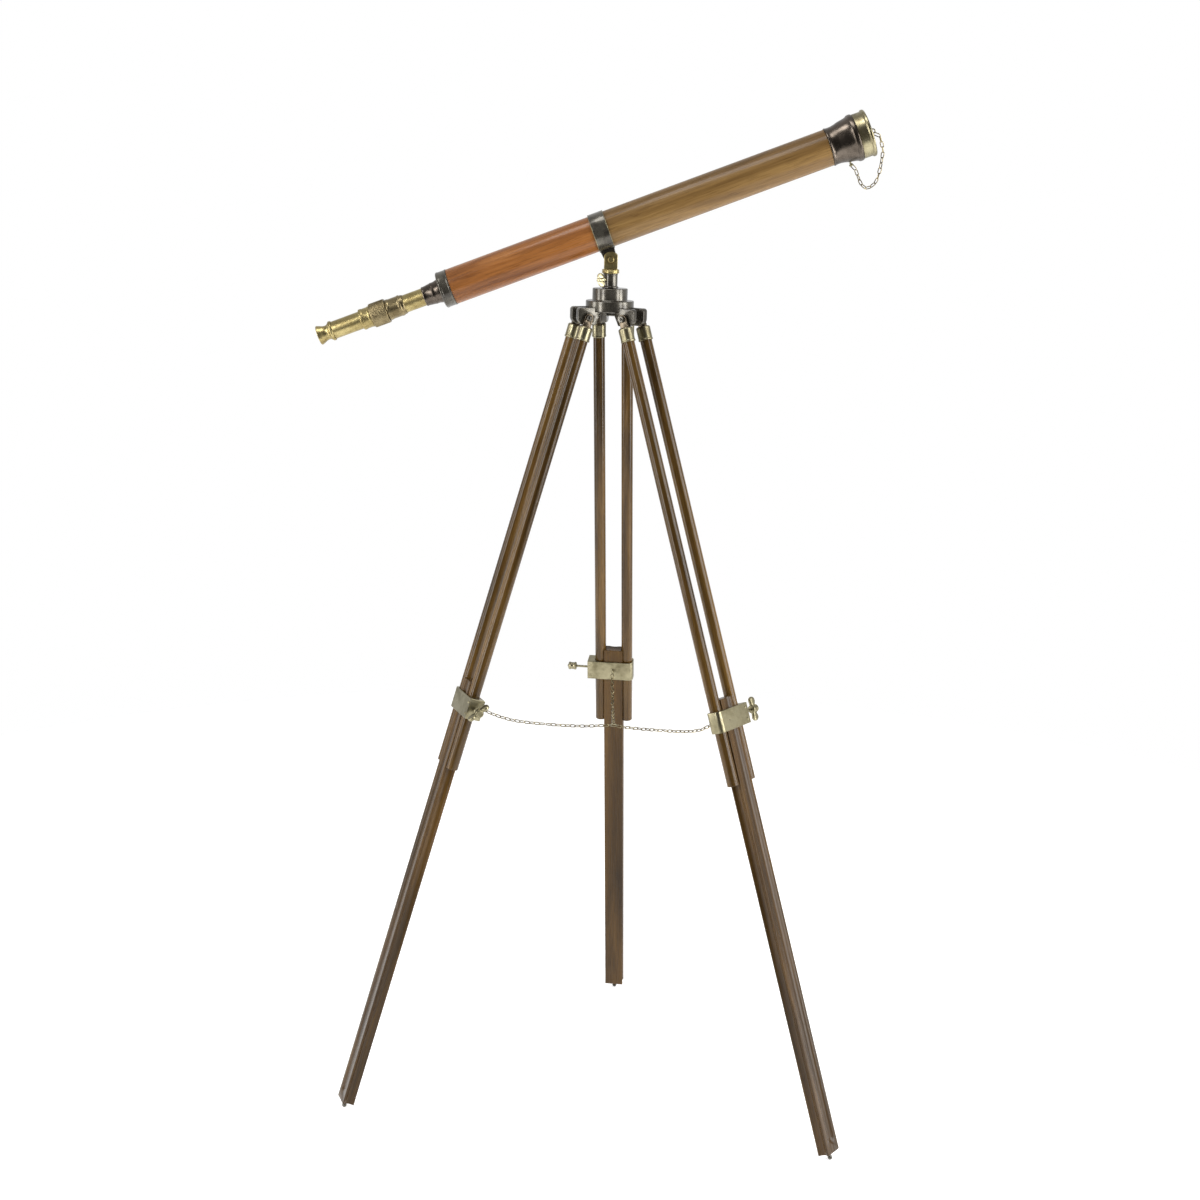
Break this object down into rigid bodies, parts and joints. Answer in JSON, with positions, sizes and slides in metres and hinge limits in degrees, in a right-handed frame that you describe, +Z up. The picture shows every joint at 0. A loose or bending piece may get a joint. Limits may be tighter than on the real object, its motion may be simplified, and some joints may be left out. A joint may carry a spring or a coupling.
{
  "type": "telescope on tripod",
  "caption": "Wooden telescope with brass and bronze fittings on a folding wooden floor tripod with spreader chains.",
  "frame": {"origin": "on the floor, under the middle of the whole object's box, chains left out", "axes": "+Z up; +X horizontally towards the objective at rest; +Y towards the back leg; the barrel lies over the X direction"},
  "size_m": [0.8974, 0.6496, 1.6416],
  "materials": {
    "rod_wood": "dark walnut stain under clear lacquer, glossy",
    "bar_wood": "reddish walnut with open grain, satin lacquer",
    "front_wood": "tan hardwood with fine straight grain, lacquered",
    "rear_wood": "warmer and redder hardwood, lacquered",
    "antique_brass": "dull greenish antique patina, cast and lightly worn",
    "bright_brass": "polished brass with light tarnish",
    "pale_brass": "pale brushed brass",
    "dark_bronze": "dark bronze patina, turned and polished",
    "black_metal": "glossy black enamel with slight wear",
    "glass": "clear polished"
  },
  "bodies": {
    "head": {"tripod_head": "black_metal", "swivel_socket": "black_metal", "back_leg_hinge_bolt": "black_metal", "left_leg_hinge_bolt": "black_metal", "right_leg_hinge_bolt": "black_metal", "spreader_ring": "antique_brass"},
    "back_leg_upper": {"back_leg_rod_1": "rod_wood", "back_leg_rod_2": "rod_wood", "back_leg_ferrule_1": "antique_brass", "back_leg_ferrule_2": "antique_brass", "back_leg_clamp": "antique_brass"},
    "back_leg_lower": {"back_leg_lower_bar": "bar_wood", "back_leg_foot": "black_metal"},
    "back_leg_clamp_screw": {"back_leg_wing_screw": "antique_brass"},
    "back_leg_chain_out": {"back_leg_chain_outer": "antique_brass"},
    "back_leg_chain_in": {"back_leg_chain_inner": "antique_brass"},
    "left_leg_upper": {"left_leg_rod_1": "rod_wood", "left_leg_rod_2": "rod_wood", "left_leg_ferrule_1": "antique_brass", "left_leg_ferrule_2": "antique_brass", "left_leg_clamp": "antique_brass"},
    "left_leg_lower": {"left_leg_lower_bar": "bar_wood", "left_leg_foot": "black_metal"},
    "left_leg_clamp_screw": {"left_leg_wing_screw": "antique_brass"},
    "left_leg_chain_out": {"left_leg_chain_outer": "antique_brass"},
    "left_leg_chain_in": {"left_leg_chain_inner": "antique_brass"},
    "right_leg_upper": {"right_leg_rod_1": "rod_wood", "right_leg_rod_2": "rod_wood", "right_leg_ferrule_1": "antique_brass", "right_leg_ferrule_2": "antique_brass", "right_leg_clamp": "antique_brass"},
    "right_leg_lower": {"right_leg_lower_bar": "bar_wood", "right_leg_foot": "black_metal"},
    "right_leg_clamp_screw": {"right_leg_wing_screw": "antique_brass"},
    "right_leg_chain_out": {"right_leg_chain_outer": "antique_brass"},
    "right_leg_chain_in": {"right_leg_chain_inner": "antique_brass"},
    "swivel": {"swivel_clevis": "bright_brass", "tilt_pin": "bright_brass"},
    "lock_screw": {"swivel_lock_screw": "bright_brass"},
    "barrel": {"barrel_band": "black_metal", "joining_sleeve": "bright_brass", "front_barrel": "front_wood", "rear_barrel": "rear_wood", "front_bell": "dark_bronze", "objective_lens": "glass", "lens_retaining_ring": "dark_bronze", "chain_stud": "antique_brass", "rear_collar": "black_metal", "rear_adapter": "dark_bronze", "cap_chain": "antique_brass"},
    "cap": {"dust_cap": "pale_brass"},
    "draw": {"draw_tube": "bright_brass", "erector_lens": "glass", "focus_body": "dark_bronze", "rear_sleeve": "bright_brass"},
    "focus": {"focus_ring": "dark_bronze"},
    "eyepiece": {"eyepiece_tube": "bright_brass", "field_lens": "glass", "eyecup": "bright_brass", "eye_lens": "glass"}
  },
  "joints": [
    {"name": "back_leg_fold", "type": "hinge", "parent": "head", "child": "back_leg_upper", "pos_m": [0.03535, 0.03718, 1.311], "axis": [-0.9906, 0.1368, 0], "range_deg": [0, 11], "deforming": ["back_leg_chain_outer", "back_leg_chain_inner"]},
    {"name": "back_leg_extend", "type": "slide", "parent": "back_leg_upper", "child": "back_leg_lower", "axis": [0.0287, 0.2076, -0.9778], "range_m": [-0.37, 0.02]},
    {"name": "back_leg_clamp_turn", "type": "hinge", "parent": "back_leg_upper", "child": "back_leg_clamp_screw", "pos_m": [-0.00554, 0.17973, 0.67837], "axis": [-0.9906, 0.1368, 0], "range_deg": [0, 360]},
    {"name": "back_leg_chain_out_swing", "type": "hinge", "parent": "back_leg_upper", "child": "back_leg_chain_out", "pos_m": [0.05156, 0.15458, 0.67471], "axis": [-0.9906, 0.1368, 0], "range_deg": [-97.2, 0]},
    {"name": "back_leg_chain_in_swing", "type": "hinge", "parent": "head", "child": "back_leg_chain_in", "pos_m": [0.0531, -0.0147, 0.6322], "axis": [-0.9906, 0.1368, 0], "range_deg": [0, 34]},
    {"name": "left_leg_fold", "type": "hinge", "parent": "head", "child": "left_leg_upper", "pos_m": [-0.01248, -0.02436, 1.311], "axis": [0.3769, -0.9263, 0], "range_deg": [0, 16], "deforming": ["left_leg_chain_outer", "left_leg_chain_inner"]},
    {"name": "left_leg_extend", "type": "slide", "parent": "left_leg_upper", "child": "left_leg_lower", "axis": [-0.2708, -0.1102, -0.9563], "range_m": [-0.37, 0.02]},
    {"name": "left_leg_clamp_turn", "type": "hinge", "parent": "left_leg_upper", "child": "left_leg_clamp_screw", "pos_m": [-0.16644, -0.15178, 0.68749], "axis": [0.3769, -0.9263, 0], "range_deg": [0, 360]},
    {"name": "left_leg_chain_out_swing", "type": "hinge", "parent": "left_leg_upper", "child": "left_leg_chain_out", "pos_m": [-0.17355, -0.08989, 0.68237], "axis": [0.3769, -0.9263, 0], "range_deg": [-89.2, 0]},
    {"name": "left_leg_chain_in_swing", "type": "hinge", "parent": "head", "child": "left_leg_chain_in", "pos_m": [0.0459, -0.0246, 0.6322], "axis": [0.3769, -0.9263, 0], "range_deg": [0, 67.3]},
    {"name": "right_leg_fold", "type": "hinge", "parent": "head", "child": "right_leg_upper", "pos_m": [0.06473, -0.03502, 1.311], "axis": [0.6137, 0.7895, 0], "range_deg": [0, 17.5], "deforming": ["right_leg_chain_outer", "right_leg_chain_inner"]},
    {"name": "right_leg_extend", "type": "slide", "parent": "right_leg_upper", "child": "right_leg_lower", "axis": [0.2544, -0.1978, -0.9466], "range_m": [-0.37, 0.02]},
    {"name": "right_leg_clamp_turn", "type": "hinge", "parent": "right_leg_upper", "child": "right_leg_clamp_screw", "pos_m": [0.26833, -0.1173, 0.69047], "axis": [0.6137, 0.7895, 0], "range_deg": [0, 360]},
    {"name": "right_leg_chain_out_swing", "type": "hinge", "parent": "right_leg_upper", "child": "right_leg_chain_out", "pos_m": [0.21843, -0.1545, 0.68483], "axis": [0.6137, 0.7895, 0], "range_deg": [-104.9, 0]},
    {"name": "right_leg_chain_in_swing", "type": "hinge", "parent": "head", "child": "right_leg_chain_in", "pos_m": [0.0592, -0.0272, 0.6322], "axis": [0.6137, 0.7895, 0], "range_deg": [0, 72.6]},
    {"name": "swivel_turn", "type": "hinge", "parent": "head", "child": "swivel", "pos_m": [0.0292, -0.0074, 1.38], "axis": [0, 0, 1], "continuous": true},
    {"name": "tilt", "type": "hinge", "parent": "swivel", "child": "barrel", "pos_m": [0.0292, -0.0074, 1.4015], "axis": [0, -1, 0], "range_deg": [-50, 38]},
    {"name": "lock_screw_turn", "type": "hinge", "parent": "head", "child": "lock_screw", "pos_m": [0.01434, -0.02078, 1.3695], "axis": [-0.7431, -0.6691, 0], "range_deg": [0, 360]},
    {"name": "cap_pull", "type": "slide", "parent": "barrel", "child": "cap", "axis": [0.9317, 0, 0.3633], "range_m": [0, 0.03], "deforming": ["cap_chain"]},
    {"name": "draw_slide", "type": "slide", "parent": "barrel", "child": "draw", "axis": [-0.9317, 0, -0.3633], "range_m": [-0.032, 0.044]},
    {"name": "focus_turn", "type": "hinge", "parent": "draw", "child": "focus", "pos_m": [-0.33887, -0.0074, 1.30769], "axis": [-0.9317, 0, -0.3633], "range_deg": [-160, 160]},
    {"name": "eyepiece_slide", "type": "slide", "parent": "draw", "child": "eyepiece", "axis": [-0.9317, 0, -0.3633], "range_m": [-0.0085, 0.0085]}
  ],
  "couplings": [
    {"joint": "back_leg_chain_out_swing", "follows": "back_leg_fold", "ratio": -8.794},
    {"joint": "back_leg_chain_in_swing", "follows": "back_leg_fold", "ratio": 3.042},
    {"joint": "left_leg_chain_out_swing", "follows": "left_leg_fold", "ratio": -5.542},
    {"joint": "left_leg_chain_in_swing", "follows": "left_leg_fold", "ratio": 4.178},
    {"joint": "right_leg_chain_out_swing", "follows": "right_leg_fold", "ratio": -5.965},
    {"joint": "right_leg_chain_in_swing", "follows": "right_leg_fold", "ratio": 4.122},
    {"joint": "eyepiece_slide", "follows": "focus_turn", "m_per_rad": 0.003}
  ]
}
